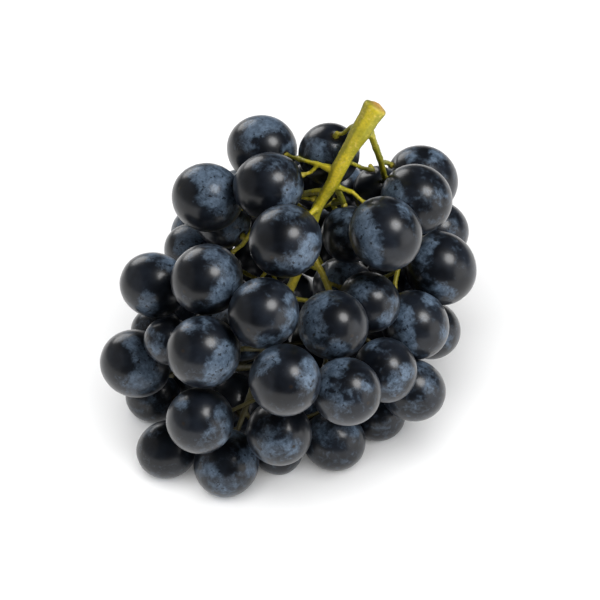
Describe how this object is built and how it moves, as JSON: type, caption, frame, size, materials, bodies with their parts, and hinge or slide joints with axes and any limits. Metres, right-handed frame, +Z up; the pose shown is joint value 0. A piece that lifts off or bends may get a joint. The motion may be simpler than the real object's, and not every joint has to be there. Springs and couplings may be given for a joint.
{
  "type": "bunch of grapes",
  "caption": "Bunch of large round black table grapes with a grey-blue bloom, lying on its side on a branching yellow-green stem.",
  "frame": {"origin": "on the surface that the bunch lies on, under the middle of its box", "axes": "+Z up; the side that the picture shows faces -Y, and the cut end of the stem points up, to the right and a little back"},
  "size_m": [0.126, 0.1306, 0.1185],
  "materials": {
    "grape_skin": "satin skin with a matte waxy bloom",
    "green_stem": "fresh green bark"
  },
  "bodies": {
    "root": {"stem": "green_stem", "grape_01": "grape_skin", "grape_02": "grape_skin", "grape_03": "grape_skin", "grape_04": "grape_skin", "grape_05": "grape_skin", "grape_06": "grape_skin", "grape_07": "grape_skin", "grape_08": "grape_skin", "grape_09": "grape_skin", "grape_10": "grape_skin", "grape_11": "grape_skin", "grape_12": "grape_skin", "grape_13": "grape_skin", "grape_14": "grape_skin", "grape_15": "grape_skin", "grape_16": "grape_skin", "grape_17": "grape_skin", "grape_18": "grape_skin", "grape_19": "grape_skin", "grape_20": "grape_skin", "grape_21": "grape_skin", "grape_22": "grape_skin", "grape_23": "grape_skin", "grape_24": "grape_skin", "grape_25": "grape_skin", "grape_26": "grape_skin", "grape_27": "grape_skin", "grape_28": "grape_skin", "grape_29": "grape_skin", "grape_30": "grape_skin", "grape_31": "grape_skin", "grape_32": "grape_skin", "grape_33": "grape_skin", "grape_34": "grape_skin", "grape_35": "grape_skin", "grape_36": "grape_skin", "grape_37": "grape_skin", "grape_38": "grape_skin", "grape_39": "grape_skin", "grape_40": "grape_skin", "grape_41": "grape_skin", "grape_42": "grape_skin", "grape_43": "grape_skin", "grape_44": "grape_skin", "grape_45": "grape_skin", "grape_46": "grape_skin", "grape_47": "grape_skin", "grape_48": "grape_skin", "grape_49": "grape_skin", "grape_50": "grape_skin", "grape_51": "grape_skin", "grape_52": "grape_skin", "grape_53": "grape_skin", "grape_54": "grape_skin", "grape_55": "grape_skin", "grape_56": "grape_skin", "grape_57": "grape_skin", "grape_58": "grape_skin", "grape_59": "grape_skin"}
  },
  "joints": []
}
